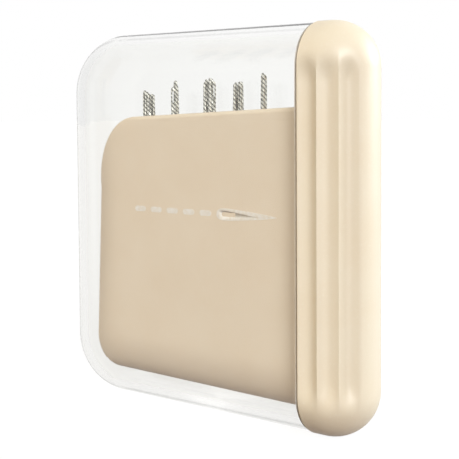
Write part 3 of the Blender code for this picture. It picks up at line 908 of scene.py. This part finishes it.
def make_world():
    """Soft light all round. It is white where it is looked at, with greyer sides in the clear plastic."""
    world = bpy.data.worlds.new("studio")
    bpy.context.scene.world = world
    nodes = WorldNodes(world)
    soft = nodes.add("ShaderNodeBackground")
    soft.inputs["Color"].default_value = SOFT_COLOUR
    soft.inputs["Strength"].default_value = SOFT_LIGHT
    white = nodes.add("ShaderNodeBackground")
    white.inputs["Color"].default_value = WHITE
    direction = nodes.add("ShaderNodeTexCoord").outputs["Generated"]
    nodes.join(greyed_sides(nodes, direction), white.inputs["Strength"])
    world_light = nodes.mix_shaders(looked_at(nodes), soft, white)
    nodes.join(world_light.outputs[0], nodes.output.inputs["Surface"])


def greyed_sides(nodes, direction):
    """1, or less where a mirroring or clear surface shows the studio to the left or the right."""
    unit = nodes.add("ShaderNodeVectorMath", operation="NORMALIZE")
    nodes.join(direction, unit.inputs[0])
    parts = nodes.add("ShaderNodeSeparateXYZ")
    nodes.join(unit.outputs["Vector"], parts.inputs[0])
    sideways = nodes.maths("ABSOLUTE", parts.outputs["X"], 0)
    shade = nodes.spread(sideways, *SIDE_SHADE_SHARES, 0.0, SIDE_SHADE)
    mirrored = nodes.maths("SUBTRACT", 1, nodes.add("ShaderNodeLightPath").outputs["Is Camera Ray"])
    return nodes.maths("SUBTRACT", 1, nodes.maths("MULTIPLY", shade, mirrored))


def make_floor():
    """A large pale sheet under the case."""
    bm = bmesh.new()
    bmesh.ops.create_grid(bm, x_segments=1, y_segments=1, size=FLOOR_REACH)
    floor = add_object("floor", bm, floor_material())


def towards(azimuth, elevation):
    """A direction from the case. Azimuth 0 is the front, 90 is the grip's side."""
    across = math.radians(azimuth)
    up = math.radians(elevation)
    return Vector((math.sin(across) * math.cos(up), -math.cos(across) * math.cos(up), math.sin(up)))


def make_lamp(name, azimuth, elevation, softness, strength, colour, mirrored=True):
    """One broad, soft light, like a large diffuser. One that isn't mirrored stays out of glossy surfaces."""
    lamp = bpy.data.lights.new(name, "SUN")
    lamp.angle = math.radians(softness)
    lamp.energy = strength
    lamp.color = colour
    placed = bpy.data.objects.new(name, lamp)
    placed.rotation_euler = towards(azimuth, elevation).to_track_quat("Z", "Y").to_euler()
    placed.visible_glossy = mirrored
    placed.visible_transmission = False
    bpy.context.scene.collection.objects.link(placed)


def make_camera():
    """The camera at the photograph's place, with the lens shift that its framing needs."""
    lens = bpy.data.cameras.new("camera")
    lens.sensor_fit = "HORIZONTAL"
    lens.lens = CAMERA_FOCAL_PIXELS / PICTURE_SIDE * lens.sensor_width
    lens.shift_y = (CAMERA_AXIS_ROW - PICTURE_SIDE / 2) / PICTURE_SIDE
    lens.clip_start = CAMERA_CLIP_START
    camera = bpy.data.objects.new("camera", lens)
    turn = Matrix.Rotation(math.radians(CAMERA_YAW), 4, "Z")
    tilt = Matrix.Rotation(math.radians(90 + CAMERA_PITCH), 4, "X")
    roll = Matrix.Rotation(math.radians(CAMERA_ROLL), 4, "Z")
    camera.matrix_world = Matrix.Translation(CAMERA_AT) @ turn @ tilt @ roll
    bpy.context.scene.collection.objects.link(camera)
    bpy.context.scene.camera = camera


def main():
    bpy.context.scene.view_settings.view_transform = "Standard"
    make_sleeve(clear_plastic(), ground_edge())
    make_holder(moulded_plastic("holder_finish", HOLDER_COLOURS, HOLDER_ROUGHNESS))
    make_mark(white_ink())
    make_grip(moulded_plastic("grip_finish", GRIP_COLOURS, GRIP_ROUGHNESS))
    steel = needle_steel()
    for node in NEEDLE_NAMES:
        make_needle(node, steel)
    make_world()
    make_floor()
    make_lamp("key", KEY_AZIMUTH, KEY_ELEVATION, KEY_SOFTNESS, KEY_STRENGTH, KEY_COLOUR)
    make_lamp("fill", FILL_AZIMUTH, FILL_ELEVATION, FILL_SOFTNESS, FILL_STRENGTH, FILL_COLOUR, mirrored=False)
    make_lamp("side", SIDE_AZIMUTH, SIDE_ELEVATION, SIDE_SOFTNESS, SIDE_STRENGTH, SIDE_COLOUR)
    make_camera()


main()
